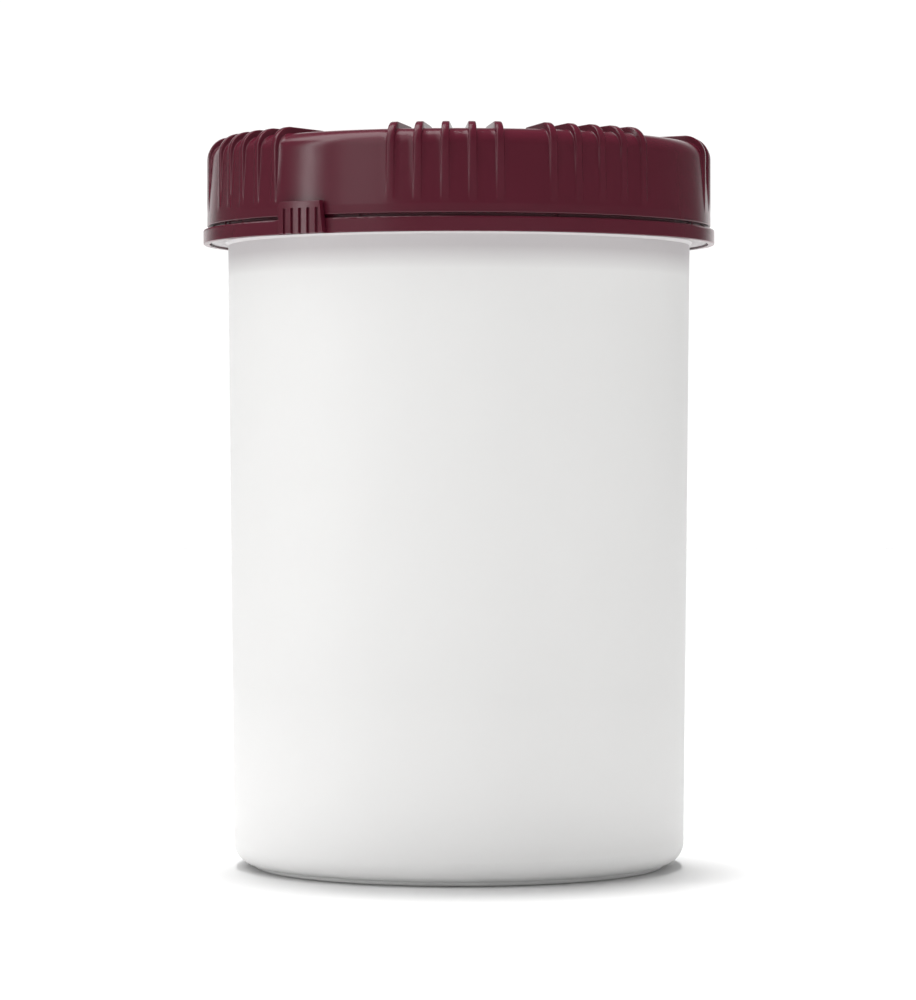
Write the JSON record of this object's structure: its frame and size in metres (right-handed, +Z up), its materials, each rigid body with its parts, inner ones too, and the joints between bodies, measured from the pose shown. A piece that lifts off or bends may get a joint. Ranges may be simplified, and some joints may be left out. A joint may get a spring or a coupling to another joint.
{
  "type": "screw-lid canister",
  "caption": "Wide-neck plastic canister with a ribbed screw lid, sealing gasket, tamper band and swing-out tear tab.",
  "frame": {"origin": "centre of the foot ring's underside, on the ground", "axes": "+Z up along the drum's axis; the front faces -Y, with the tear tab to the left of it, and +X is to the right"},
  "size_m": [0.22, 0.22, 0.3123],
  "materials": {
    "drum_plastic": "satin white moulded polyethylene",
    "lid_plastic": "satin burgundy moulded polypropylene",
    "gasket_foam": "matte light grey sealing foam"
  },
  "bodies": {
    "drum": {"drum_shell": "drum_plastic", "neck_finish": "drum_plastic", "tamper_band": "lid_plastic", "break_bridges": "lid_plastic"},
    "gasket_carrier": {"lid_gasket": "gasket_foam"},
    "lid": {"screw_lid": "lid_plastic"},
    "tab": {"tear_tab": "lid_plastic"}
  },
  "joints": [
    {"name": "lid_lift", "type": "slide", "parent": "drum", "child": "gasket_carrier", "axis": [0, 0, 1], "range_m": [0, 0.036]},
    {"name": "lid_turn", "type": "hinge", "parent": "gasket_carrier", "child": "lid", "pos_m": [0, 0, 0.2746], "axis": [0, 0, 1], "range_deg": [0, 400]},
    {"name": "tab_swing", "type": "hinge", "parent": "drum", "child": "tab", "pos_m": [-0.07307, -0.08262, 0.2738], "axis": [0, 0, -1], "range_deg": [0, 75]}
  ],
  "couplings": [
    {"joint": "lid_lift", "follows": "lid_turn", "m_per_rad": 0.005093}
  ]
}
